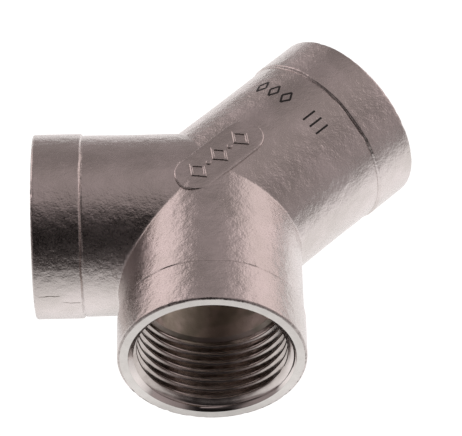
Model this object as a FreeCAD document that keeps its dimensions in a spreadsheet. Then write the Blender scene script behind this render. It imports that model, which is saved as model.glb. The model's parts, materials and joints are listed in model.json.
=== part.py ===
import FreeCAD, Part
import math
import os
import Sketcher

# Cast Y fitting with three female pipe ports of nominal size 1 (Rp 1, eleven threads to the inch).
# It is one investment casting, machined at the three ports: it has no other piece and nothing moves.
# Frame: the origin is where the three port axes cross, and all three axes lie in the XY plane.
# The two arms point along -X and -Y, at 90 degrees, and the stem points along (+1, +1, 0),
# at 135 degrees from each arm. +Z is up, and the raised panel is on top. Millimetres.

NODE = "y_fitting_body"

SIZES = {
    # lengths of the legs, from the crossing of the axes to each mouth
    "arm_length": 36.5,
    "stem_length": 41.6,
    "left_arm_turn": 180,
    "front_arm_turn": 270,
    "stem_turn": 45,
    # outside of a leg: a round barrel that ends in a slightly larger collar
    "barrel_radius": 18.9,
    "collar_radius": 19.25,
    "collar_width": 9.8,
    "shoulder_length": 0.8,
    "mouth_edge_radius": 0.5,
    "crease_radius": 0.8,
    # inside of a leg: entry bevel, tapped bore, conical step and cast waterway
    "bevel_radius": 17.05,
    "bore_radius": 15.25,
    "bore_depth": 17,
    "step_length": 0.5,
    "waterway_radius": 14.4,
    # Rp 1 thread of 55 degrees
    "pitch": 2.309,
    "root_radius": 16.6245,
    "flank_angle": 27.5,
    "thread_turns": 7,
    "overcut": 0.25,
    # raised panel on the top, with plain raised marks
    "panel_base": 17,
    "panel_top": 18.95,
    "panel_start": -3.8,
    "panel_end": 10,
    "panel_half_width": 4.4,
    "mark_height": 0.28,
    "mark_centre": 3.1,
    "mark_spacing": 6.2,
    "lozenge_half_length": 2,
    "lozenge_half_width": 2.6,
    "lozenge_opening": 0.6,
    "pip_radius": 0.6,
}

LEGS = (
    ("LeftArm", "arm_length", "left_arm_turn"),
    ("FrontArm", "arm_length", "front_arm_turn"),
    ("Stem", "stem_length", "stem_turn"),
)

ORIGIN = (-1, 1)
H_AXIS = -1
V_AXIS = -2
START = 1
END = 2
CENTRE = 3

X = FreeCAD.Vector(1, 0, 0)
Z = FreeCAD.Vector(0, 0, 1)
FLAT = FreeCAD.Rotation()
UPRIGHT = FreeCAD.Rotation(X, 90)
QUARTER_TURN = math.pi / 2

# how near two lengths are when they count as the same
SAME = 1e-6
# the most that the bores may leave of the solid casting
MOST_LEFT = 0.6


def sizes_sheet(doc):
    """The driving dimensions, one row each: a name and its value under the same alias."""
    sheet = doc.addObject("Spreadsheet::Sheet", "Sizes")
    for row, (alias, value) in enumerate(SIZES.items(), start=1):
        sheet.set(f"A{row}", alias)
        sheet.set(f"B{row}", str(value))
        sheet.setAlias(f"B{row}", alias)
    doc.recompute()
    return sheet


def sized(formula):
    """A formula written with plain size names, turned into an expression on the sheet."""
    words = formula.split(" ")
    return " ".join(f"Sizes.{word}" if word in SIZES else word for word in words)


def new_sketch(body, name, turn, tilt=FLAT):
    """A sketch through the body's origin: its horizontal axis lies in XY, turned about Z by a size."""
    planes = [item for item in body.Origin.OriginFeatures if item.Role == "XY_Plane"]
    sketch = body.newObject("Sketcher::SketchObject", name)
    sketch.AttachmentSupport = [(planes[0], "")]
    sketch.MapMode = "FlatFace"
    heading = FreeCAD.Rotation(Z, SIZES[turn])
    sketch.AttachmentOffset = FreeCAD.Placement(FreeCAD.Vector(), heading * tilt)
    return sketch


def pin(sketch, kind, geometry, point, formula, name):
    """Hold one coordinate of a point at a size, measured from the sketch's origin."""
    if formula == "0":
        axis = V_AXIS if kind == "DistanceX" else H_AXIS
        sketch.addConstraint(Sketcher.Constraint("PointOnObject", geometry, point, axis))
        return
    number = sketch.addConstraint(Sketcher.Constraint(kind, *ORIGIN, geometry, point, 1.0))
    sketch.renameConstraint(number, name)
    sketch.setExpression(f"Constraints.{name}", sized(formula))


def add_loop(sketch, corners):
    """A closed polygon; each corner is two formulas, along the sketch's axis and out from it."""
    first = sketch.GeometryCount
    count = len(corners)
    rough = [FreeCAD.Rotation(Z, 360 * i / count).multVec(X) for i in range(count)]
    for i in range(count):
        sketch.addGeometry(Part.LineSegment(rough[i], rough[(i + 1) % count]), False)
    for i, (along, out) in enumerate(corners):
        line = first + i
        following = first + (i + 1) % count
        sketch.addConstraint(Sketcher.Constraint("Coincident", line, END, following, START))
        pin(sketch, "DistanceX", line, START, along, f"along_{line}")
        pin(sketch, "DistanceY", line, START, out, f"out_{line}")


def add_circle(sketch, along, radius):
    """A circle centred on the sketch's horizontal axis."""
    circle = sketch.addGeometry(Part.Circle(X, Z, 1.0), False)
    pin(sketch, "DistanceX", circle, CENTRE, along, f"along_{circle}")
    pin(sketch, "DistanceY", circle, CENTRE, "0", f"out_{circle}")
    number = sketch.addConstraint(Sketcher.Constraint("Radius", circle, 1.0))
    sketch.renameConstraint(number, f"radius_{circle}")
    sketch.setExpression(f"Constraints.radius_{circle}", sized(radius))


def spin(body, kind, name, sketch, angle):
    """A Revolution or a Groove of the sketch about its own horizontal axis."""
    feature = body.newObject(kind, name)
    feature.Profile = sketch
    feature.ReferenceAxis = (sketch, ["H_Axis"])
    feature.Angle = angle
    feature.Refine = False
    return feature


def pad(body, name, sketch, height):
    feature = body.newObject("PartDesign::Pad", name)
    feature.Profile = sketch
    feature.setExpression("Length", sized(height))
    feature.Refine = False
    return feature


def add_leg(body, leg, length, turn):
    """The outside of one leg: barrel, shoulder and collar, turned about the leg's axis."""
    sketch = new_sketch(body, f"{leg}Outline", turn)
    add_loop(sketch, (
        ("0", "0"),
        (length, "0"),
        (length, "collar_radius"),
        (f"{length} - collar_width", "collar_radius"),
        (f"{length} - collar_width - shoulder_length", "barrel_radius"),
        ("0", "barrel_radius"),
    ))
    spin(body, "PartDesign::Revolution", leg, sketch, 360)


def round_edges(doc, body, name, radius, wanted):
    """Fillet those edges of the body for which wanted is true."""
    doc.recompute()
    base = body.Tip
    names = [f"Edge{i}" for i, edge in enumerate(base.Shape.Edges, start=1) if wanted(edge)]
    fillet = body.newObject("PartDesign::Fillet", name)
    fillet.Base = (base, names)
    fillet.setExpression("Radius", sized(radius))
    fillet.Refine = False


def is_crease(edge):
    """The legs cross in elliptical creases; every other curved edge is a circle."""
    return isinstance(edge.Curve, Part.Ellipse)


def is_mouth_edge(edge):
    """The outer rim of a mouth: a circle of the collar's radius, at a leg's full length from the origin."""
    if not isinstance(edge.Curve, Part.Circle):
        return False
    reach = edge.Curve.Center.Length
    at_mouth = any(abs(reach - SIZES[length]) < SAME for _, length, _ in LEGS)
    return at_mouth and abs(edge.Curve.Radius - SIZES["collar_radius"]) < SAME


def add_panel(body):
    """The raised stadium on the top, along the stem, with plain lozenges and pips standing on it."""
    flat = new_sketch(body, "PanelOutline", "stem_turn")
    flat.setExpression("AttachmentOffset.Base.z", sized("panel_base"))
    left_end = Part.ArcOfCircle(Part.Circle(-2 * X, Z, 1.0), QUARTER_TURN, 3 * QUARTER_TURN)
    right_end = Part.ArcOfCircle(Part.Circle(2 * X, Z, 1.0), -QUARTER_TURN, QUARTER_TURN)
    top = Part.LineSegment(FreeCAD.Vector(2, 1, 0), FreeCAD.Vector(-2, 1, 0))
    bottom = Part.LineSegment(FreeCAD.Vector(-2, -1, 0), FreeCAD.Vector(2, -1, 0))
    flat.addGeometry([left_end, bottom, right_end, top], False)
    for i in range(4):
        flat.addConstraint(Sketcher.Constraint("Tangent", i, END, (i + 1) % 4, START))
    for arc, along in ((0, "panel_start"), (2, "panel_end")):
        pin(flat, "DistanceX", arc, CENTRE, along, f"along_{arc}")
    pin(flat, "DistanceY", 0, CENTRE, "0", "out_0")
    number = flat.addConstraint(Sketcher.Constraint("Radius", 0, 1.0))
    flat.renameConstraint(number, "half_width")
    flat.setExpression("Constraints.half_width", sized("panel_half_width"))
    flat.addConstraint(Sketcher.Constraint("Horizontal", 1))
    pad(body, "Panel", flat, "panel_top - panel_base")

    marks = new_sketch(body, "Marks", "stem_turn")
    marks.setExpression("AttachmentOffset.Base.z", sized("panel_base"))
    for place in (-1, 0, 1):
        middle = f"mark_centre + {place} * mark_spacing"
        for ring in ("", " * lozenge_opening"):
            add_loop(marks, (
                (f"{middle} + lozenge_half_length{ring}", "0"),
                (middle, f"lozenge_half_width{ring}"),
                (f"{middle} - lozenge_half_length{ring}", "0"),
                (middle, f"0 - lozenge_half_width{ring}"),
            ))
    for place in (-0.5, 0.5):
        add_circle(marks, f"mark_centre + {place} * mark_spacing", "pip_radius")
    pad(body, "RaisedMarks", marks, "panel_top + mark_height - panel_base")


def bore_leg(body, leg, length, turn):
    """The inside of one leg: entry bevel, tapping bore, conical step and waterway.

    It is turned one quarter at a time, so each thread crest is made of short, quarter-turn faces.
    """
    sketch = new_sketch(body, f"{leg}Inside", turn)
    add_loop(sketch, (
        ("0", "0"),
        (length, "0"),
        (length, "bevel_radius"),
        (f"{length} - bevel_radius + bore_radius", "bore_radius"),
        (f"{length} - bore_depth", "bore_radius"),
        (f"{length} - bore_depth - step_length", "waterway_radius"),
        ("0", "waterway_radius"),
    ))
    quarter = spin(body, "PartDesign::Groove", f"{leg}QuarterBore", sketch, 90)
    bore = body.newObject("PartDesign::PolarPattern", f"{leg}Bore")
    bore.Originals = [quarter]
    bore.Axis = (sketch, ["H_Axis"])
    bore.Angle = 360
    bore.Occurrences = 4
    bore.Refine = False
    body.Tip = bore


def thread_leg(body, leg, length, turn):
    """The right-hand thread of one port, from its last turn at the top of the bore out past the mouth."""
    half_flat = "pitch / 12"
    rise = "( root_radius - bore_radius + overcut ) * tan( flank_angle * 1 deg )"
    middle = f"{length} - thread_turns * pitch"
    sketch = new_sketch(body, f"{leg}Groove", turn, UPRIGHT)
    add_loop(sketch, (
        (f"{middle} - {half_flat} - {rise}", "bore_radius - overcut"),
        (f"{middle} + {half_flat} + {rise}", "bore_radius - overcut"),
        (f"{middle} + {half_flat}", "root_radius"),
        (f"{middle} - {half_flat}", "root_radius"),
    ))
    thread = body.newObject("PartDesign::SubtractiveHelix", f"{leg}Thread")
    thread.Profile = sketch
    thread.ReferenceAxis = (sketch, ["H_Axis"])
    thread.Mode = "pitch-height-angle"
    thread.setExpression("Pitch", sized("pitch"))
    thread.setExpression("Height", sized("( thread_turns + 1 ) * pitch"))
    thread.Refine = False


def check(doc, body, solid_volume):
    """Stop if a feature failed, or the inside cut nothing."""
    for item in doc.Objects:
        if {"Invalid", "Error"} & set(item.State):
            raise RuntimeError(f"{item.Name} failed: {item.State}")
    shape = body.Shape
    if shape.isNull() or not shape.isValid() or len(shape.Solids) != 1:
        raise RuntimeError("the fitting is not one valid solid")
    if shape.Volume > MOST_LEFT * solid_volume:
        raise RuntimeError("the bores cut too little")


def main():
    doc = FreeCAD.newDocument("YFitting")
    sizes_sheet(doc)
    body = doc.addObject("PartDesign::Body", "Fitting")
    body.Label = NODE
    body.Placement = FreeCAD.Placement()
    for leg in LEGS:
        add_leg(body, *leg)
    round_edges(doc, body, "MouthEdges", "mouth_edge_radius", is_mouth_edge)
    round_edges(doc, body, "Creases", "crease_radius", is_crease)
    add_panel(body)
    doc.recompute()
    solid_volume = body.Shape.Volume
    for leg in LEGS:
        bore_leg(body, *leg)
    doc.recompute()
    for leg in LEGS:
        thread_leg(body, *leg)
    doc.recompute()
    check(doc, body, solid_volume)
    os.makedirs("parts", exist_ok=True)
    body.Shape.exportStep(f"parts/{body.Label}.step")


main()
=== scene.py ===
"""Looks of a cast stainless steel Y pipe fitting with three female-threaded ports.

Lengths are in millimetres until the mesh is made; Blender and the frame are in metres.
Each leg has its own axis, a side direction (a quarter turn to the left of the axis, seen from
above) and up. A point on a leg is given by a run along the axis, a radius, and a turn about the
axis from side to up. A ring round a leg starts at the top.
"""

import json
import math

import bmesh
import bpy
import numpy as np
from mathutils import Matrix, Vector, noise


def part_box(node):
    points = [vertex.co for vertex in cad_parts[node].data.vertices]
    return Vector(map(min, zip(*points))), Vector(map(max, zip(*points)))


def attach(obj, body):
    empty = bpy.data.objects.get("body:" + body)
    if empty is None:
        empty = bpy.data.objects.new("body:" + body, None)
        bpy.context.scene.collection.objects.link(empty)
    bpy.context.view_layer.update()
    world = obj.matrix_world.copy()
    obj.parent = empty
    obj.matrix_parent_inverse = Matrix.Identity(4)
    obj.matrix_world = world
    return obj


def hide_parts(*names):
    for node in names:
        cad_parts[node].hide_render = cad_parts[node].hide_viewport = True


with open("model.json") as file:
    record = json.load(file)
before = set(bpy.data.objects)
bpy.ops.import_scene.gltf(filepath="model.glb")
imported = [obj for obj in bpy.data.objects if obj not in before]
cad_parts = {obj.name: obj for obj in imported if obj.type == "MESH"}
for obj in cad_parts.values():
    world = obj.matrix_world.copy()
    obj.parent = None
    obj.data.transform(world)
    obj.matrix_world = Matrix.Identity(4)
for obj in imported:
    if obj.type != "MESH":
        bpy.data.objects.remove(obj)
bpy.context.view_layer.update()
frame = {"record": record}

NODE = "y_fitting_body"
MM = 0.001
UP = np.array((0.0, 0.0, 1.0))
QUARTER_TURN = math.pi / 2

# ---- sizes that the frame gives ----
LOW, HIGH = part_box(NODE)
COLLAR_RADIUS = HIGH.z / MM
ARM_LENGTH = -LOW.x / MM
RIM_RADIUS = 0.5
STEM_LENGTH = (HIGH.x / MM - RIM_RADIUS) * math.sqrt(2) - COLLAR_RADIUS + 2 * RIM_RADIUS
BORE_RADIUS = frame["record"]["mounts"][0]["dims"]["r_mm"]

# ---- sizes of the casting and of its machining, as in the design ----
BARREL_RADIUS = 18.9
COLLAR_WIDTH = 9.8
SHOULDER_LENGTH = 0.8
SHOULDER_STEP = 0.48
UNDERCUT = 0.12
CREASE_RADIUS = 0.8
WATERWAY_RADIUS = 14.4
BORE_DEPTH = 17.0
STEP_LENGTH = 0.5
BEVEL_RADIUS = 17.05
FACE_EDGE = 0.1
BURR = 0.08
BURR_CREST, BURR_EDGE = BURR * 0.3, BURR * 0.2
PITCH = 2.309
ROOT_RADIUS = 16.6245
ROOT_HALF_WIDTH = PITCH / 12
FLANK_SLOPE = math.tan(math.radians(27.5))
THREAD_TURNS = 7
RUN_OUT_TURNS = 0.06
ROOT_EASE = 0.4
CREST_EASE = 0.3

# ---- the raised panel on the stem, and the lozenges and pips on it ----
PANEL_TOP = 18.95
PANEL_BASE = 17.0
PANEL_START, PANEL_END = -3.8, 10.0
PANEL_HALF_WIDTH = 4.4
PANEL_BEVEL = 0.28
PANEL_RISE = 0.45
MARK_HEIGHT = 0.28
MARK_ROOT = 18.4
MARK_CENTRE, MARK_SPACING = 3.1, 6.2
LOZENGE_HALF_SIZE = (2.0, 2.6)
LOZENGE_OPENING = 0.6
LOZENGE_ROUND = 0.27
PIP_RADIUS = 0.6
PIP_BEVEL = 0.2

# ---- the printed marks round the stem: their run, and their arc lengths from the top ----
PRINT_RUN = 24.3
PRINT_HALF_HEIGHT = 1.75
PRINT_HALF_WIDTH = 1.1
PRINT_STROKE = 0.42
PRINT_SINK, PRINT_LIFT = 0.12, 0.02
PRINT_DIAMONDS = (8.2, 4.7, 1.2)
PRINT_BARS = (-5.4, -7.4, -9.4)

# ---- unevenness of the casting ----
WAVE_LENGTH = 5.0
WAVE_HEIGHT = 0.05
# of the shoulder's edge, as (length, seed, height)
SHOULDER_WAVES = ((4.0, 4.0, 0.16), (1.2, 9.0, 0.07))
# of the undercut's depth, as a length, a seed and the mean share of the depth
FOOT_WAVE, FOOT_SEED, FOOT_MEAN = 2.5, 6.0, 0.75
# nicks in the rim: length, seed, the noise that they start from, depth, and how far they lean in
NICK_WAVE, NICK_SEED, NICK_LEVEL, NICK_DEPTH, NICK_LEAN = 0.8, 2.0, 0.1, 0.25, 0.6
# the edge map: its value where the rim starts, its value and its fall up the shoulder's wall, and
# how far from the mouth it starts and over what length it rises inside the bore
RIM_START = 0.35
WALL_START, WALL_FALL = 0.9, 2
MOUTH_REACH, MOUTH_RISE = 1.95, 1.3

# ---- how finely the surfaces are divided ----
COLUMNS = 168
BARREL_ROWS = 26
WATERWAY_ROWS = 12
CREASE_CROWDING = 1.6
SHOULDER_SHARES = (0.35, 0.7, 1)
COLLAR_SHARES = (0.03, 0.2, 0.4, 0.6, 0.8, 0.95, 1)
ROUND_STEPS = 6
THREAD_KNOTS = (0.0, 0.17, 0.28, 0.55, 0.8, 0.87, 0.93, 1.02)
STADIUM_POINTS = 20
PANEL_LOOPS, PANEL_CLOSING = 9, 0.97
LOZENGE_STEPS = 12
LOZENGE_SIDE_STEPS = 4
PIP_SIDES = 20
PIP_STEPS = 4
STROKE_POINTS = 7
BLEND_PASSES = 5
FAR, NEAR, HAIR = 1e3, 1e-6, 1e-9
WELD = 0.003
SHARP_ANGLE = 38

# material slots of the casting
CAST, MACHINED, WATERWAY, THREADED = range(4)


class Leg:
    """One leg's directions, its length, and the half angles to its neighbours on each side."""

    def __init__(self, heading, length, half_left, half_right):
        turn = math.radians(heading)
        self.axis = np.array((math.cos(turn), math.sin(turn), 0.0))
        self.side = np.cross(UP, self.axis)
        self.length = length
        self.half_left = math.radians(half_left)
        self.half_right = math.radians(half_right)

    def points(self, run, radius, turn):
        """Points of the leg in millimetres; run, radius and turn are arrays of one shape."""
        across = np.cos(turn)[..., None] * self.side + np.sin(turn)[..., None] * UP
        return run[..., None] * self.axis + radius[..., None] * across

    def crease(self, radius, turn):
        """The run at which a tube of this radius meets its neighbours'."""
        wide = radius * np.cos(turn)
        left = wide / math.tan(self.half_left)
        right = -wide / math.tan(self.half_right)
        return np.where(wide > 0, left, right)


LEFT_ARM = Leg(180, ARM_LENGTH, 45, 67.5)
FRONT_ARM = Leg(270, ARM_LENGTH, 67.5, 45)
STEM = Leg(45, STEM_LENGTH, 67.5, 67.5)
LEGS = (LEFT_ARM, FRONT_ARM, STEM)


# ---- the casting ----
class Skin:
    """Collects grids of quads, each with a material and two maps.

    The lathe map holds millimetres round the axis and along the profile.
    The edge map holds the nearness, from 0 to 1, to the rim or mouth and to the collar's shoulder.
    """

    def __init__(self):
        self.points, self.faces, self.lathe, self.edges, self.materials = [], [], [], [], []
        self.count = 0

    def add(self, points, along, around, material, inward=False, edges=None):
        rows, columns = points.shape[:2]
        index = self.count + np.arange(rows * columns).reshape(rows, columns)
        corners = [index[:-1, :-1], index[:-1, 1:], index[1:, 1:], index[1:, :-1]]
        if inward:
            corners.reverse()
        if edges is None:
            edges = np.zeros((rows, columns, 2))
        self.faces.append(np.stack(corners, -1).reshape(-1, 4))
        self.points.append(points.reshape(-1, 3))
        self.lathe.append(np.stack((around, along), -1).reshape(-1, 2))
        self.edges.append(edges.reshape(-1, 2))
        self.materials.append(np.full((rows - 1) * (columns - 1), material))
        self.count += rows * columns

    def mesh(self, name):
        points = np.concatenate(self.points) * MM
        faces = np.concatenate(self.faces)
        mesh = bpy.data.meshes.new(name)
        mesh.from_pydata(points.tolist(), [], faces.tolist())
        for layer, values in (("Lathe", self.lathe), ("Edges", self.edges)):
            corners = np.concatenate(values)[faces.ravel()]
            mesh.uv_layers.new(name=layer).data.foreach_set("uv", corners.ravel())
        mesh.polygons.foreach_set("material_index", np.concatenate(self.materials))
        return mesh


def soft_step(share):
    return share * share * (3 - 2 * share)


def turns():
    """Turns about the axis, from the top once round, with the first column repeated at the end."""
    return QUARTER_TURN + np.arange(COLUMNS + 1) * 2 * math.pi / COLUMNS


def blend_creases(points, radius):
    """Moves points of the crossing barrels out to a rounded crease, and leaves the rest alone."""
    for _ in range(BLEND_PASSES):
        depths, slopes = [], []
        for leg in LEGS:
            along = points @ leg.axis
            across = points - np.outer(along, leg.axis)
            distance = np.linalg.norm(across, axis=1)
            depths.append(np.where(along > -HAIR, distance - radius, FAR))
            slopes.append(across / distance[:, None])
        depths, slopes = np.stack(depths), np.stack(slopes)
        order = np.argsort(depths, axis=0)
        depths = np.take_along_axis(depths, order, axis=0)
        slopes = np.take_along_axis(slopes, order[..., None], axis=0)
        reach = CREASE_RADIUS * (1 - (slopes[0] * slopes[1]).sum(1)) + NEAR
        near = np.clip(1 - (depths[1] - depths[0]) / reach, 0, None)
        share = (near / 2)[:, None]
        slope = slopes[0] * (1 - share) + slopes[1] * share
        value = depths[0] - near ** 2 * reach / 4
        points = points - (value / (slope ** 2).sum(1))[:, None] * slope
    return points


def hollows(points):
    """Slow hollows of a cast surface, as a distance out from it for each point; never above 0."""
    waves = [noise.noise(Vector(point) / WAVE_LENGTH) for point in points]
    return np.array(waves) * WAVE_HEIGHT - WAVE_HEIGHT


def ring_noise(leg, length, seed):
    """Uneven values round a leg, from -1 to 1, that join up after a full turn."""
    ones = np.ones(COLUMNS + 1)
    ring = leg.points(leg.length * ones, COLLAR_RADIUS * ones, turns())
    shift = Vector((seed, seed, seed))
    return np.array([noise.noise(Vector(point) / length + shift) for point in ring])


def add_lathe(skin, leg, rows, material, inward=False):
    """A turned surface through rings given as (run, radius) pairs."""
    table = np.array(rows, float)
    ones = np.ones(COLUMNS + 1)
    run, radius = table[:, :1] * ones, table[:, 1:] * ones
    steps = np.linalg.norm(np.diff(table, axis=0), axis=1)
    along = np.concatenate(([0.0], np.cumsum(steps)))[:, None] * ones
    turn = np.broadcast_to(turns(), run.shape)
    skin.add(leg.points(run, radius, turn), along, turn * BARREL_RADIUS, material, inward)


def tube_grid(leg, radius, end, count):
    """Rows from the creases with the neighbours to a ring at end, closest near the creases."""
    turn = np.broadcast_to(turns(), (count + 1, COLUMNS + 1))
    share = (np.arange(count + 1) / count)[:, None] ** CREASE_CROWDING
    run = leg.crease(radius, turn) * (1 - share) + end * share
    return leg.points(run, np.full_like(run, radius), turn), run, turn, share


def add_barrel(skin, leg, end):
    """The cast barrel, with rounded creases, and hollows that fade at both ends."""
    grid, run, turn, share = tube_grid(leg, BARREL_RADIUS, end, BARREL_ROWS)
    points = blend_creases(grid.reshape(-1, 3), BARREL_RADIUS)
    spread = np.broadcast_to(soft_step(share) * soft_step(1 - share) * 4, run.shape).ravel()
    across = points - np.outer(points @ leg.axis, leg.axis)
    across /= np.linalg.norm(across, axis=1)[:, None]
    grid = (points + across * (hollows(points) * spread)[:, None]).reshape(grid.shape)
    skin.add(grid, run, turn * BARREL_RADIUS, CAST)


def add_waterway(skin, leg, end):
    grid, run, turn, _ = tube_grid(leg, WATERWAY_RADIUS, end, WATERWAY_ROWS)
    skin.add(grid, run, turn * BARREL_RADIUS, WATERWAY, True)


def shoulder_rings(leg, start):
    """The shoulder's undercut foot and uneven cast edge, as rings for add_rings."""
    rise = COLLAR_RADIUS - BARREL_RADIUS
    uneven = sum(ring_noise(leg, length, seed) * height for length, seed, height in SHOULDER_WAVES)
    wall = start + SHOULDER_LENGTH - SHOULDER_STEP + uneven
    foot = UNDERCUT * (FOOT_MEAN + ring_noise(leg, FOOT_WAVE, FOOT_SEED))
    rings = [(start, BARREL_RADIUS, 0, 0)]
    for share in SHOULDER_SHARES:
        run = start + (wall - start) * share
        rings.append((run, BARREL_RADIUS - foot * soft_step(share), 0, share))
    for share in np.linspace(0, 1, ROUND_STEPS + 1)[1:]:
        radius = BARREL_RADIUS - foot + (rise + foot) * soft_step(share)
        near = max(0, WALL_START - WALL_FALL * share)
        rings.append((wall + SHOULDER_STEP * share, radius, 0, near))
    return rings


def rim_rings(leg, start):
    """The rounded and slightly nicked rim of the mouth, as rings for add_rings."""
    nicks = np.clip(ring_noise(leg, NICK_WAVE, NICK_SEED) - NICK_LEVEL, 0, None) * NICK_DEPTH
    rings = []
    for angle in np.linspace(0, QUARTER_TURN, ROUND_STEPS + 1)[1:]:
        sink = nicks * math.sin(2 * angle)
        run = start + RIM_RADIUS * math.sin(angle) - sink
        radius = COLLAR_RADIUS - RIM_RADIUS * (1 - math.cos(angle)) - sink * NICK_LEAN
        rings.append((run, radius, RIM_START + (1 - RIM_START) * angle / QUARTER_TURN, 0))
    return rings


def add_rings(skin, leg, rings):
    """Cast rings given as (run, radius, nearness to the rim, nearness to the shoulder)."""
    run, radius, rim, shoulder = (
        np.stack([np.broadcast_to(ring[part], COLUMNS + 1) for ring in rings]) for part in range(4))
    turn = np.broadcast_to(turns(), run.shape)
    edges = np.stack((rim, shoulder), -1)
    skin.add(leg.points(run, radius, turn), run, turn * BARREL_RADIUS, CAST, False, edges)


def add_collar(skin, leg, start):
    """The shoulder, and the collar up to the rim of the mouth."""
    rings = shoulder_rings(leg, start)
    top, rim_start = rings[-1][0], leg.length - RIM_RADIUS
    for share in COLLAR_SHARES:
        rim = RIM_START if share == 1 else 0
        rings.append((top * (1 - share) + rim_start * share, COLLAR_RADIUS, rim, 0))
    add_rings(skin, leg, rings + rim_rings(leg, rim_start))


def add_mouth(skin, leg):
    """The machined face, with a small burr round the bevel."""
    outer = COLLAR_RADIUS - RIM_RADIUS
    radii = (outer, outer - FACE_EDGE, (outer + BEVEL_RADIUS) / 2, BEVEL_RADIUS + BURR)
    rows = [(leg.length, radius) for radius in radii]
    rows.append((leg.length - BURR_CREST, BEVEL_RADIUS + BURR_CREST))
    rows.append((leg.length - BURR, BEVEL_RADIUS - BURR_EDGE))
    add_lathe(skin, leg, rows, MACHINED)


def smooth_max(first, second, width):
    """The larger of two values, eased over a width where they are nearly equal."""
    near = np.clip(1 - np.abs(first - second) / width, 0, None)
    return np.maximum(first, second) + near ** 2 * width / 4


def groove_radius(offset):
    """The thread's profile: straight flanks between an eased root and an eased crest."""
    flank = ROOT_RADIUS - (offset - ROOT_HALF_WIDTH) / FLANK_SLOPE
    rooted = -smooth_max(-flank, np.full_like(flank, -ROOT_RADIUS), ROOT_EASE)
    return smooth_max(rooted, np.full_like(flank, BORE_RADIUS), CREST_EASE)


def bore_surface(leg, run, turn):
    """Radius of the bore: the deepest of the tapping bore, the thread groove and the bevel."""
    first = leg.length - THREAD_TURNS * PITCH
    turned = (turn - QUARTER_TURN) / (2 * math.pi)
    passed = (run - first) / PITCH - turned
    centre = np.round(passed)
    groove = groove_radius(np.abs(passed - centre) * PITCH)
    fade = soft_step(np.clip((centre + turned) / RUN_OUT_TURNS, 0, 1))
    fade = fade * soft_step(np.clip((run - leg.length + BORE_DEPTH) / STEP_LENGTH, 0, 1))
    thread = BORE_RADIUS + (groove - BORE_RADIUS) * fade
    bevel = BEVEL_RADIUS - BURR_EDGE - (leg.length - BURR - run)
    return np.maximum(thread, bevel)


def add_thread(skin, leg):
    """The bore with its thread; rows follow the helix and are squeezed flat at both ends."""
    half = list(THREAD_KNOTS)
    offsets = half + [PITCH / 2] + [PITCH - offset for offset in reversed(half[1:])]
    first = leg.length - (THREAD_TURNS + 2) * PITCH
    starts = [first + PITCH * turn for turn in range(THREAD_TURNS + 3)]
    level = np.array([start + offset for start in starts for offset in offsets])
    climb = np.arange(COLUMNS + 1) / COLUMNS * PITCH
    run = np.clip(level[:, None] + climb, leg.length - BORE_DEPTH, leg.length - BURR)
    turn = np.broadcast_to(turns(), run.shape)
    radius = bore_surface(leg, run, turn)
    along = run + (radius - BORE_RADIUS)
    mouth = soft_step(np.clip((run - leg.length + MOUTH_REACH) / MOUTH_RISE, 0, 1))
    edges = np.stack((mouth, np.zeros_like(mouth)), -1)
    skin.add(leg.points(run, radius, turn), along, turn * BORE_RADIUS, THREADED, True, edges)


def add_leg(skin, leg):
    """One leg, outside and inside."""
    shoulder = leg.length - COLLAR_WIDTH - SHOULDER_LENGTH
    add_barrel(skin, leg, shoulder)
    add_collar(skin, leg, shoulder)
    add_mouth(skin, leg)
    add_thread(skin, leg)
    inner = leg.length - BORE_DEPTH
    narrowing = BORE_RADIUS - WATERWAY_RADIUS
    step = [(inner - STEP_LENGTH * share, WATERWAY_RADIUS + narrowing * (1 - share))
            for share in (1, 0.9, 0.5, 0.1, 0)]
    add_lathe(skin, leg, step, WATERWAY, True)
    add_waterway(skin, leg, inner - STEP_LENGTH)


def clean(mesh, weld=None):
    """Turns a closed mesh's faces outwards, after welding points that are this close."""
    work = bmesh.new()
    work.from_mesh(mesh)
    if weld is not None:
        bmesh.ops.remove_doubles(work, verts=work.verts, dist=weld)
    bmesh.ops.recalc_face_normals(work, faces=work.faces)
    work.to_mesh(mesh)
    work.free()


def link(name, data):
    piece = bpy.data.objects.new(name, data)
    bpy.context.scene.collection.objects.link(piece)
    return piece


def build_casting():
    """The whole casting as one closed skin: outside, mouths, threads and waterway."""
    skin = Skin()
    for leg in LEGS:
        add_leg(skin, leg)
    mesh = skin.mesh("casting")
    clean(mesh, WELD * MM)
    return link("casting", mesh)


# ---- the raised panel and its marks ----
def solid_from_loops(name, loops, hollow=False):
    """A closed solid through loops of equal length: capped, or joined up where it is hollow."""
    count, levels = len(loops[0]), len(loops)
    points = np.concatenate(loops) * MM
    faces = []
    for level in range(levels if hollow else levels - 1):
        here, there = level * count, (level + 1) % levels * count
        for i in range(count):
            j = (i + 1) % count
            faces.append((here + i, here + j, there + j, there + i))
    if not hollow:
        faces.append(tuple(reversed(range(count))))
        faces.append(tuple(range(len(points) - count, len(points))))
    mesh = bpy.data.meshes.new(name)
    mesh.from_pydata(points.tolist(), [], faces)
    clean(mesh)
    return link(name, mesh)


def on_stem_level(outline, height):
    """Lifts an outline, given as (run, side) in millimetres on the stem, to a height."""
    outline = np.asarray(outline, float)
    return outline[:, :1] * STEM.axis + outline[:, 1:] * STEM.side + height * UP


def stadium(half_width):
    """The panel's outline for a half width."""
    angles = np.linspace(QUARTER_TURN, 3 * QUARTER_TURN, STADIUM_POINTS)
    ends = ((PANEL_START, half_width), (PANEL_END, -half_width))
    return [(middle + radius * math.cos(a), radius * math.sin(a))
            for middle, radius in ends for a in angles]


def bevel_steps(height, bevel, steps):
    """Heights and insets of a solid's rounded top edge."""
    angles = np.linspace(0, QUARTER_TURN, steps + 1)
    return [(height - bevel * (1 - math.sin(a)), bevel * (1 - math.cos(a))) for a in angles]


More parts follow.
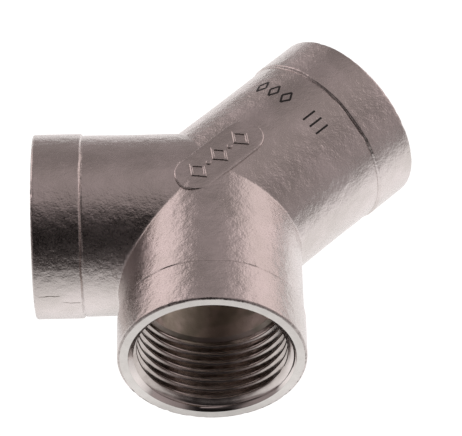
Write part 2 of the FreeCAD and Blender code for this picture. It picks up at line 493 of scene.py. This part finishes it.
def follow_barrels(loop):
    """Lowers a panel's loop to a little over the barrels where the panel's top is higher."""
    for point in loop:
        surface = 0.0
        for leg in LEGS:
            along, across = point @ leg.axis, point @ leg.side
            if along > 0:
                surface = max(surface, math.sqrt(BARREL_RADIUS ** 2 - across ** 2))
        point[2] += min(PANEL_TOP, surface + PANEL_RISE) - PANEL_TOP
    return loop


def make_panel():
    """The raised stadium with its rounded edge; loops across its top let it follow the barrels."""
    insets = np.linspace(2 * PANEL_BEVEL, PANEL_HALF_WIDTH * PANEL_CLOSING, PANEL_LOOPS)
    levels = bevel_steps(PANEL_TOP, PANEL_BEVEL, ROUND_STEPS)
    levels += [(PANEL_TOP, inset) for inset in insets]
    loops = [on_stem_level(stadium(PANEL_HALF_WIDTH), PANEL_BASE)]
    for height, inset in levels:
        loops.append(follow_barrels(on_stem_level(stadium(PANEL_HALF_WIDTH - inset), height)))
    return solid_from_loops("panel", loops)


def mark_place(place):
    """The (run, side) of the mark that is this many spacings from the middle one."""
    return MARK_CENTRE + place * MARK_SPACING, 0


def make_lozenge(place):
    """A raised lozenge with a lozenge-shaped opening: its wall has a rounded top."""
    top, wall = PANEL_TOP + MARK_HEIGHT, 1 - LOZENGE_OPENING
    profile = [(0.0, MARK_ROOT)]
    for angle in np.linspace(0, math.pi, LOZENGE_STEPS + 1):
        height = top - LOZENGE_ROUND * (1 - math.sin(angle))
        profile.append((wall * (1 - math.cos(angle)) / 2, height))
    profile.append((wall, MARK_ROOT))
    corners = np.array(((1, 0), (0, 1), (-1, 0), (0, -1)), float)
    outline = [corners[i] * (1 - t) + corners[(i + 1) % 4] * t
               for i in range(4) for t in np.arange(LOZENGE_SIDE_STEPS) / LOZENGE_SIDE_STEPS]
    outline = np.array(outline) * LOZENGE_HALF_SIZE
    loops = [on_stem_level(outline * (1 - share) + mark_place(place), height)
             for share, height in profile]
    return solid_from_loops("lozenge", loops, hollow=True)


def make_pip(place):
    """A small round dot between two lozenges."""
    angles = np.arange(PIP_SIDES) * 2 * math.pi / PIP_SIDES
    circle = np.stack((np.cos(angles), np.sin(angles)), -1)
    levels = [(MARK_ROOT, 0.0)] + bevel_steps(PANEL_TOP + MARK_HEIGHT, PIP_BEVEL, PIP_STEPS)
    loops = [on_stem_level(circle * (PIP_RADIUS - inset) + mark_place(place), height)
             for height, inset in levels]
    return solid_from_loops("pip", loops)


def apply_modifiers(piece):
    """Gives a piece the mesh that its modifiers make of it."""
    shaped = piece.evaluated_get(bpy.context.evaluated_depsgraph_get())
    mesh = bpy.data.meshes.new_from_object(shaped)
    piece.modifiers.clear()
    piece.data = mesh


def join_solids(piece, solids):
    """One solid out of the piece and the raised solids that stand on it, with clean shading."""
    for solid in solids:
        for layer in ("Lathe", "Edges"):
            corners = solid.data.uv_layers.new(name=layer).data
            corners.foreach_set("uv", np.zeros(2 * len(corners)))
        solid.data.materials.append(piece.data.materials[CAST])
        union = piece.modifiers.new("union", "BOOLEAN")
        union.operation = "UNION"
        union.solver = "MANIFOLD"
        union.object = solid
    apply_modifiers(piece)
    for solid in solids:
        bpy.data.objects.remove(solid)
    shape = piece.data
    shape.polygons.foreach_set("use_smooth", np.ones(len(shape.polygons), bool))
    shape.set_sharp_from_angle(angle=math.radians(SHARP_ANGLE))
    normals = piece.modifiers.new("normals", "WEIGHTED_NORMAL")
    normals.keep_sharp = True
    apply_modifiers(piece)


# ---- nodes ----
def put(material, kind, **settings):
    """A new node; settings are its properties, or the values of its inputs."""
    node = material.node_tree.nodes.new("ShaderNode" + kind)
    for key, value in settings.items():
        if hasattr(node, key):
            setattr(node, key, value)
        else:
            node.inputs[key.replace("_", " ")].default_value = value
    return node


def wire(material, source, target):
    """Joins an output to an input, or sets the input where the source is a plain value."""
    if isinstance(source, (int, float, tuple)):
        target.default_value = source
    else:
        material.node_tree.links.new(source, target)


def calculate(material, operation, first, second=0.0):
    node = put(material, "Math", operation=operation)
    wire(material, first, node.inputs[0])
    wire(material, second, node.inputs[1])
    return node.outputs["Value"]


def times(material, first, second):
    return calculate(material, "MULTIPLY", first, second)


def plus(material, first, second):
    return calculate(material, "ADD", first, second)


def ranged(material, source, low, high, to_low, to_high, smooth=True, clamp=True):
    """Maps a value's range to another, and holds it at the ends where it is clamped."""
    node = put(material, "MapRange", interpolation_type="SMOOTHSTEP" if smooth else "LINEAR",
               clamp=clamp, From_Min=low, From_Max=high, To_Min=to_low, To_Max=to_high)
    wire(material, source, node.inputs["Value"])
    return node.outputs["Result"]


def projected(material, place, direction):
    """How far a place lies along a direction."""
    node = put(material, "VectorMath", operation="DOT_PRODUCT")
    wire(material, place, node.inputs[0])
    node.inputs[1].default_value = direction
    return node.outputs["Value"]


def noise_at(material, place, scale, detail, roughness=0.5):
    node = put(material, "TexNoise", Scale=scale, Detail=detail, Roughness=roughness)
    wire(material, place, node.inputs["Vector"])
    return node.outputs["Fac"]


def object_place(material):
    return put(material, "TexCoord").outputs["Object"]


def grain(material, per_mm, detail, roughness=0.6):
    """Noise fixed to the casting, with about this many grains to the millimetre."""
    return noise_at(material, object_place(material), per_mm / MM, detail, roughness)


def bump(material, height, distance, strength, under=None):
    """A bump of this many millimetres, on top of another where one is given."""
    node = put(material, "Bump", Distance=distance * MM, Strength=strength)
    wire(material, height, node.inputs["Height"])
    if under is not None:
        wire(material, under, node.inputs["Normal"])
    return node.outputs["Normal"]


def tinted(material, factor, colours):
    """A colour between a pair, by a factor."""
    node = put(material, "ValToRGB")
    for stop, colour in zip(node.color_ramp.elements, colours):
        stop.color = (*colour, 1)
    wire(material, factor, node.inputs["Fac"])
    return node.outputs["Color"]


def covered(material, factor, under, colour):
    """A colour output, covered with a plain colour by a factor."""
    node = put(material, "Mix", data_type="RGBA")
    factor_in, under_in, over_in = node.inputs[0], node.inputs[6], node.inputs[7]
    wire(material, factor, factor_in)
    wire(material, under, under_in)
    over_in.default_value = (*colour, 1)
    return node.outputs[2]


def split_axes(material, vector):
    split = put(material, "SeparateXYZ")
    wire(material, vector, split.inputs["Vector"])
    return split.outputs["X"], split.outputs["Y"], split.outputs["Z"]


def map_axes(material, layer):
    return split_axes(material, put(material, "UVMap", uv_map=layer).outputs["UV"])[:2]


def new_material(name, metallic=1.0):
    material = bpy.data.materials.new(name)
    material.use_nodes = True
    shader = material.node_tree.nodes["Principled BSDF"]
    shader.inputs["Metallic"].default_value = metallic
    return material, shader


# ---- materials; pairs of colours are dark and light ----
CAST_COLOURS = ((0.585, 0.535, 0.512), (0.69, 0.625, 0.61))
# the colour of the painted shade at the rims and in the shoulders' feet, and of the scratches
SHADE_AND_SCRATCH_COLOUR = (0.09, 0.07, 0.06)
FACE_COLOURS = ((0.70, 0.668, 0.64), (0.76, 0.728, 0.70))
THREAD_COLOURS = ((0.50, 0.447, 0.42), (0.66, 0.60, 0.57))
BEVEL_COLOUR = (0.84, 0.77, 0.745)
WATERWAY_COLOURS = ((0.35, 0.316, 0.262), (0.56, 0.475, 0.435))
INK_COLOUR = (0.012, 0.011, 0.01)
# grains to the millimetre
FINE, SPECK, WRINKLE, BLOTCH = 2.5, 0.9, 0.5, 0.09
# turning marks: lines to the millimetre, and how much they are drawn out round the axis
TURNING_LINES, TURNING_STRETCH = 6.0, 0.02
# scratches on the left collar: degrees above level, start and end as shares of the collar's width
# from its shoulder, and how dark they are
SCRATCHES = ((0.5, 0.42, 0.95, 1), (-5.8, 0.0, 0.45, 0.8))
# half a scratch's width in radians round the arm, and how far its two ends fade, in millimetres
SCRATCH_WIDTH = 0.009
SCRATCH_START_FADE, SCRATCH_END_FADE = 0.5, 1.5


def scratches(material):
    """The thin lines along the left arm's collar, as a share from 0 to 1."""
    x, y, z = split_axes(material, object_place(material))
    turn = calculate(material, "ARCTAN2", z, times(material, y, -1))
    uneven = grain(material, 0.4, 2.0, 0.5)
    waver = ranged(material, uneven, 0.3, 0.7, -SCRATCH_WIDTH, SCRATCH_WIDTH)
    turn = plus(material, turn, waver)
    shoulder, width = LOW.x + COLLAR_WIDTH * MM, COLLAR_WIDTH * MM
    total = 0.0
    for angle, start, end, depth in SCRATCHES:
        aside = calculate(material, "ABSOLUTE", plus(material, turn, -math.radians(angle)))
        line = ranged(material, aside, 0.2 * SCRATCH_WIDTH, SCRATCH_WIDTH, depth, 0)
        inner, outer = shoulder - start * width, shoulder - end * width
        begun = ranged(material, x, inner - SCRATCH_START_FADE * MM, inner, 1, 0)
        ended = ranged(material, x, outer, outer + SCRATCH_END_FADE * MM, 0, 1)
        total = plus(material, total, times(material, line, times(material, begun, ended)))
    return total


def painted_shade_and_scratches(material, wrinkle, blotch):
    """Painted shade, patchy along the rims' rounded edges and some in the shoulders' undercut feet,
    plus the scratches, from 0 to 1.
    """
    rim, shoulder = map_axes(material, "Edges")
    speck = grain(material, SPECK, 2.0)
    patchy = times(material, ranged(material, speck, 0.46, 0.6, 0, 0.8),
                   ranged(material, blotch, 0.38, 0.6, 0.25, 1))
    # painted shade: a patchy dark line along the rounded rim
    rim_shade = times(material, ranged(material, rim, 0.5, 0.9, 0, 1), patchy)
    # painted shade in the undercut foot of the collar's shoulder, stronger where the wrinkles are
    foot_shade = times(material, ranged(material, shoulder, 0.3, 1.0, 0, 1),
                    ranged(material, wrinkle, 0.4, 0.65, 0.0, 0.35))
    shade_and_scratches = plus(material, plus(material, rim_shade, foot_shade), scratches(material))
    return ranged(material, shade_and_scratches, 0, 1, 0, 1, smooth=False)


def cast_stainless():
    """Blasted and pickled casting: a fine grain with slow wrinkles, painted shade along its rims
    and in its shoulders' feet, and dark scratches.
    """
    material, shader = new_material("cast_stainless")
    fine = grain(material, FINE, 2.0)
    wrinkle = grain(material, WRINKLE, 2.0, 0.5)
    blotch = grain(material, BLOTCH, 3.0)
    colour = tinted(material, ranged(material, blotch, 0.35, 0.65, 0, 1), CAST_COLOURS)
    # darkened by painted shade at the rims and shoulders' feet, and by the scratches
    shade_and_scratches = painted_shade_and_scratches(material, wrinkle, blotch)
    wire(material, covered(material, shade_and_scratches, colour, SHADE_AND_SCRATCH_COLOUR), shader.inputs["Base Color"])
    rough = plus(material, ranged(material, blotch, 0.3, 0.7, 0.25, 0.32),
                 ranged(material, fine, 0.35, 0.65, -0.04, 0.04))
    wire(material, rough, shader.inputs["Roughness"])
    slow = bump(material, wrinkle, 0.2, 0.8)
    wire(material, bump(material, fine, 0.075, 0.8, slow), shader.inputs["Normal"])
    return material


def turned_stainless(name, colours, roughness, mouth_colour=None):
    """A turned surface with fine marks; mouth_colour, where given, covers it near the mouth."""
    material, shader = new_material(name)
    around, along = map_axes(material, "Lathe")
    drawn_out = put(material, "CombineXYZ")
    wire(material, times(material, around, TURNING_STRETCH), drawn_out.inputs["X"])
    wire(material, along, drawn_out.inputs["Y"])
    lines = noise_at(material, drawn_out.outputs["Vector"], TURNING_LINES, 2.0)
    dirt = grain(material, WRINKLE, 3.0)
    colour = tinted(material, ranged(material, dirt, 0.3, 0.7, 0, 1), colours)
    if mouth_colour is not None:
        mouth, _ = map_axes(material, "Edges")
        colour = covered(material, mouth, colour, mouth_colour)
    wire(material, colour, shader.inputs["Base Color"])
    wire(material, ranged(material, dirt, 0.3, 0.7, *roughness), shader.inputs["Roughness"])
    wire(material, bump(material, lines, 0.004, 0.5), shader.inputs["Normal"])
    return material


def machined_stainless():
    """The faces of the mouths: bright and clean."""
    return turned_stainless("machined_stainless", FACE_COLOURS, (0.12, 0.17))


def threaded_stainless():
    """The threads: darker and warmer than the faces, with brighter bevels."""
    return turned_stainless("threaded_stainless", THREAD_COLOURS, (0.13, 0.19), BEVEL_COLOUR)


def waterway_stainless():
    """The inside of the casting: smoother than the outside, duller and browner."""
    material, shader = new_material("waterway_stainless")
    fine = grain(material, 1.0, 3.0)
    patches = ranged(material, grain(material, 0.12, 2.0), 0.42, 0.6, 0, 1)
    wire(material, tinted(material, patches, WATERWAY_COLOURS), shader.inputs["Base Color"])
    wire(material, ranged(material, fine, 0.3, 0.7, 0.33, 0.42), shader.inputs["Roughness"])
    wire(material, bump(material, fine, 0.06, 0.7), shader.inputs["Normal"])
    return material


def ink():
    """The dark print on the stem."""
    material, shader = new_material("marking_ink", 0.0)
    shader.inputs["Base Color"].default_value = (*INK_COLOUR, 1)
    shader.inputs["Roughness"].default_value = 0.45
    return material


# ---- the pieces ----
def make_casting():
    """The casting with its panel and marks; it stands for the CAD node."""
    casting = build_casting()
    for material in (cast_stainless, machined_stainless, waterway_stainless, threaded_stainless):
        casting.data.materials.append(material())
    lozenges = [make_lozenge(place) for place in (-1, 0, 1)]
    pips = [make_pip(place) for place in (-0.5, 0.5)]
    join_solids(casting, [make_panel()] + lozenges + pips)
    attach(casting, "root")
    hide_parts(NODE)


def stroke(start, end):
    """The outline of a printed stroke from one (run, arc) place to another, in short lengths."""
    start, end = np.array(start, float), np.array(end, float)
    across = np.array((start[1] - end[1], end[0] - start[0]))
    across *= PRINT_STROKE / 2 / np.linalg.norm(across)
    steps = np.linspace(0, 1, STROKE_POINTS)[:, None]
    middle = start * (1 - steps) + end * steps
    return np.concatenate((middle + across, (middle - across)[::-1]))


def print_strokes():
    """The outlines of all printed strokes: open diamonds, then bars."""
    low, high = PRINT_RUN - PRINT_HALF_HEIGHT, PRINT_RUN + PRINT_HALF_HEIGHT
    strokes = []
    for arc in PRINT_DIAMONDS:
        right, left = arc - PRINT_HALF_WIDTH, arc + PRINT_HALF_WIDTH
        tips = ((low, arc), (PRINT_RUN, right), (high, arc), (PRINT_RUN, left))
        strokes += [stroke(tips[i], tips[(i + 1) % 4]) for i in range(4)]
    return strokes + [stroke((low, arc), (high, arc)) for arc in PRINT_BARS]


def on_barrel(outline, lift):
    """Puts (run, arc) places on the stem's barrel; an arc runs from the top towards the side."""
    runs, arcs = outline.T
    turn = QUARTER_TURN - arcs / BARREL_RADIUS
    return STEM.points(runs, np.full_like(runs, BARREL_RADIUS + lift), turn)


def make_print():
    """Plain printed marks round the stem: thin closed strokes, in place of a printed code."""
    points, faces = [], []
    for outline in print_strokes():
        count, first = len(outline), len(points)
        for lift in (-PRINT_SINK, PRINT_LIFT):
            points += (on_barrel(outline, lift) * MM).tolist()
        for layer in (first, first + count):
            for i in range(count // 2 - 1):
                j = count - 1 - i
                faces.append((layer + i, layer + i + 1, layer + j - 1, layer + j))
        for i in range(count):
            j = (i + 1) % count
            faces.append((first + i, first + j, first + count + j, first + count + i))
    mesh = bpy.data.meshes.new("printed_marks")
    mesh.from_pydata(points, [], faces)
    clean(mesh)
    mesh.materials.append(ink())
    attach(link("printed_marks", mesh), "root")


# ---- studio ----
FLOOR_HALF = 0.4
FLOOR_BRIGHTEST = (0.0, 0.055)
FLOOR_FULL = 0.088
FLOOR_FADE = 0.085
FLOOR_LIGHT = 1.02
FLOOR_SHADE = 0.35
FLOOR_GREY = 0.3
# an even, slightly warm grey above the floor
AIR = (0.262, 0.228, 0.227)
# patches of light: azimuth from +Y towards +X, elevation, half angles to the end of the full part
# and to the end of the patch, and colour
PATCHES = (
    (50, 72, 12, 42, (0.15, 0.13, 0.129)),
    (0, 8, 4, 26, (0.09, 0.083, 0.083)),
    (108, 10, 12, 32, (0.09, 0.079, 0.081)),
    (-48, 17, 14, 34, (0.87, 0.752, 0.747)),
    (54, 11, 18, 40, (0.83, 0.718, 0.712)),
)
# dark cards, in the same terms: two on the camera's side and one high on the left
CARDS = (
    (180, 22, 20, 34),
    (180, 46, 16, 33),
    (-118, 44, 12, 30),
)
# the share of the light that a card takes away
CARD_DEPTH = 0.86
CAMERA_AZIMUTH, CAMERA_ELEVATION, CAMERA_ROLL = 180.1, 48.59, -1.07
CAMERA_AIM = (4.37, 1.46, 0)
CAMERA_DISTANCE = 0.731
CAMERA_LENS, CAMERA_SENSOR = 272.7, 36


def leg_shade(material, place, leg):
    """How far the floor at a place lies in the shade under one leg, from 0 to 1."""
    radius, end = COLLAR_RADIUS * MM, leg.length * MM
    along = projected(material, place, leg.axis)
    aside = calculate(material, "ABSOLUTE", projected(material, place, leg.side))
    under = ranged(material, aside, radius * 0.5, radius * 1.2, 1, 0)
    begun = ranged(material, along, -radius, 0, 0, 1)
    ended = ranged(material, along, end, end + radius * 0.5, 1, 0)
    return times(material, under, times(material, begun, ended))


def floor_light(material):
    """The floor's light: full near the object, falling off away from it and under the legs.

    The camera sees it plain white.
    """
    place = object_place(material)
    reach = put(material, "VectorMath", operation="DISTANCE")
    reach.inputs[1].default_value = (*FLOOR_BRIGHTEST, LOW.z)
    wire(material, place, reach.inputs[0])
    full = math.log(FLOOR_LIGHT)
    fall = ranged(material, reach.outputs["Value"], FLOOR_FULL, FLOOR_FULL + FLOOR_FADE,
                  full, full - 1, smooth=False, clamp=False)
    light = calculate(material, "EXPONENT", fall)
    for leg in LEGS:
        shade = leg_shade(material, place, leg)
        left_over = ranged(material, shade, 0, 1, 1, 1 - FLOOR_SHADE, smooth=False)
        light = times(material, light, left_over)
    by_camera = put(material, "LightPath").outputs["Is Camera Ray"]
    seen = calculate(material, "MAXIMUM", light, by_camera)
    return calculate(material, "MINIMUM", seen, FLOOR_LIGHT)


def make_floor():
    """A plain white floor that the object rests on."""
    signs = ((-1, -1), (1, -1), (1, 1), (-1, 1))
    corners = [(x * FLOOR_HALF, y * FLOOR_HALF, LOW.z) for x, y in signs]
    mesh = bpy.data.meshes.new("floor")
    mesh.from_pydata(corners, [], [(0, 1, 2, 3)])
    material, shader = new_material("floor_white", 0.0)
    shader.inputs["Base Color"].default_value = (FLOOR_GREY, FLOOR_GREY, FLOOR_GREY, 1)
    shader.inputs["Roughness"].default_value = 1
    shader.inputs["Emission Color"].default_value = (1, 1, 1, 1)
    wire(material, floor_light(material), shader.inputs["Emission Strength"])
    mesh.materials.append(material)
    link("floor", mesh)


def towards(azimuth, elevation):
    """The direction at an azimuth from +Y towards +X and an elevation, in degrees."""
    turn, rise = math.radians(azimuth), math.radians(elevation)
    return math.sin(turn) * math.cos(rise), math.cos(turn) * math.cos(rise), math.sin(rise)


def patch(world, direction, azimuth, elevation, full, end):
    """Closeness to a direction: 1 inside the full half angle, easing to 0 at the end half angle."""
    closeness = projected(world, direction, towards(azimuth, elevation))
    edge, inside = math.cos(math.radians(end)), math.cos(math.radians(full))
    return ranged(world, closeness, edge, inside, 0, 1)


def studio_world():
    """Soft light from all round, with cards and patches; the camera sees plain white."""
    world = bpy.data.worlds.new("studio")
    world.use_nodes = True
    world.node_tree.nodes.clear()
    direction = put(world, "TexCoord").outputs["Generated"]
    total = AIR
    for card in CARDS:
        shade = put(world, "VectorMath", operation="SCALE")
        wire(world, total, shade.inputs[0])
        closeness = patch(world, direction, *card)
        left_over = ranged(world, closeness, 0, 1, 1, 1 - CARD_DEPTH, smooth=False)
        wire(world, left_over, shade.inputs["Scale"])
        total = shade.outputs["Vector"]
    for *place, colour in PATCHES:
        add = put(world, "VectorMath", operation="MULTIPLY_ADD")
        wire(world, patch(world, direction, *place), add.inputs[0])
        wire(world, colour, add.inputs[1])
        wire(world, total, add.inputs[2])
        total = add.outputs["Vector"]
    light, plain = put(world, "Background"), put(world, "Background", Color=(1, 1, 1, 1))
    wire(world, total, light.inputs["Color"])
    mix = put(world, "MixShader")
    wire(world, put(world, "LightPath").outputs["Is Camera Ray"], mix.inputs["Fac"])
    wire(world, light.outputs["Background"], mix.inputs[1])
    wire(world, plain.outputs["Background"], mix.inputs[2])
    wire(world, mix.outputs["Shader"], put(world, "OutputWorld").inputs["Surface"])
    bpy.context.scene.world = world


def make_camera():
    """The photograph's viewing angle, from a long lens."""
    back = Vector(towards(CAMERA_AZIMUTH, CAMERA_ELEVATION))
    data = bpy.data.cameras.new("camera")
    data.lens, data.sensor_width = CAMERA_LENS, CAMERA_SENSOR
    data.clip_start, data.clip_end = 0.05, 20
    camera = link("camera", data)
    camera.location = Vector(CAMERA_AIM) * MM + back * CAMERA_DISTANCE
    camera.rotation_euler = (-back).to_track_quat("-Z", "Y").to_euler()
    camera.rotation_euler.rotate_axis("Z", math.radians(CAMERA_ROLL))
    bpy.context.scene.camera = camera


make_casting()
make_print()
make_floor()
studio_world()
make_camera()
bpy.context.scene.view_settings.view_transform = "Standard"
